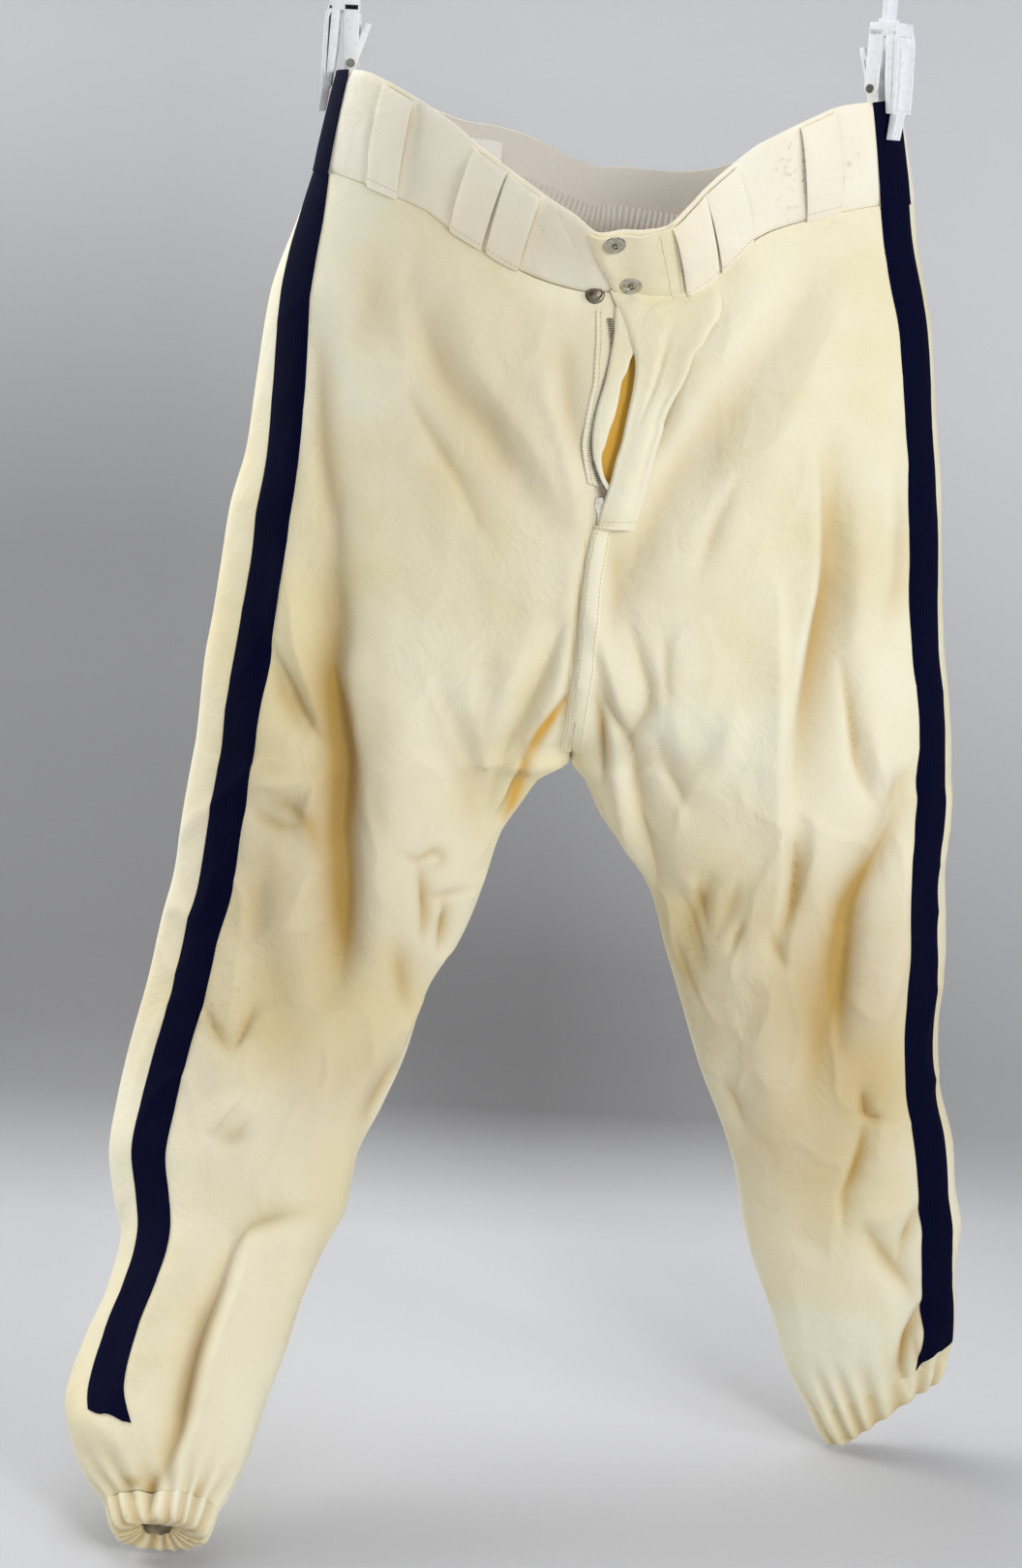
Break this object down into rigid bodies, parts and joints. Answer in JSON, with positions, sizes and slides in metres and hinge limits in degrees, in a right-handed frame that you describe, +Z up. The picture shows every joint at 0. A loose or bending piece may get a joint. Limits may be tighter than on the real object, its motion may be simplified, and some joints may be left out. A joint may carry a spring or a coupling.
{
  "type": "baseball pants on a clip hanger",
  "caption": "Cream knit baseball pants with a navy side braid, hung open-waisted from spring clips on a bar; snap tab over an open zip fly and gathered elastic hems.",
  "frame": {"origin": "the point inside the hook's top that the hanger hangs from", "axes": "+X to the viewer's right of the front, +Y from front to back, +Z up"},
  "size_m": [0.6079, 0.3218, 1.0793],
  "materials": {
    "cream_knit": "matt double knit",
    "navy_braid": "flat knitted braid",
    "grey_elastic": "ribbed woven elastic and zip tape",
    "white_label": "blank woven label",
    "nickel": "nickel plate",
    "white_plastic": "moulded white plastic",
    "chrome_wire": "plated wire and bar"
  },
  "bodies": {
    "root": {"front_left": "cream_knit", "front_left_thigh": "cream_knit", "front_left_shin": "cream_knit", "front_right": "cream_knit", "front_right_thigh": "cream_knit", "front_right_shin": "cream_knit", "back_left": "cream_knit", "back_left_thigh": "cream_knit", "back_left_shin": "cream_knit", "back_right": "cream_knit", "back_right_thigh": "cream_knit", "back_right_shin": "cream_knit", "hem_left": "cream_knit", "hem_right": "cream_knit", "waistband_front_left": "cream_knit", "waistband_front_right": "cream_knit", "waistband_back": "cream_knit", "belt_loop_front_1": "cream_knit", "belt_loop_front_2": "cream_knit", "belt_loop_front_3": "cream_knit", "belt_loop_front_4": "cream_knit", "belt_loop_front_5": "cream_knit", "belt_loop_front_6": "cream_knit", "belt_loop_back_1": "cream_knit", "belt_loop_back_2": "cream_knit", "snap_tab": "cream_knit", "fly_flap": "cream_knit", "fly_underlap": "cream_knit", "centre_strip": "cream_knit", "braid_leg_left": "navy_braid", "braid_leg_right": "navy_braid", "braid_waist_left": "navy_braid", "braid_waist_right": "navy_braid", "elastic_back": "grey_elastic", "zip_tape_left": "grey_elastic", "zip_tape_right": "grey_elastic", "label_blank": "white_label", "snap_cap_upper": "nickel", "snap_cap_lower": "nickel", "snap_stud": "nickel", "zip_slider": "nickel", "clip_pin_left": "nickel", "clip_pin_right": "nickel", "clip_outer_left": "white_plastic", "clip_outer_right": "white_plastic", "clip_inner_left": "white_plastic", "clip_inner_right": "white_plastic", "hanger": "chrome_wire"}
  },
  "joints": []
}
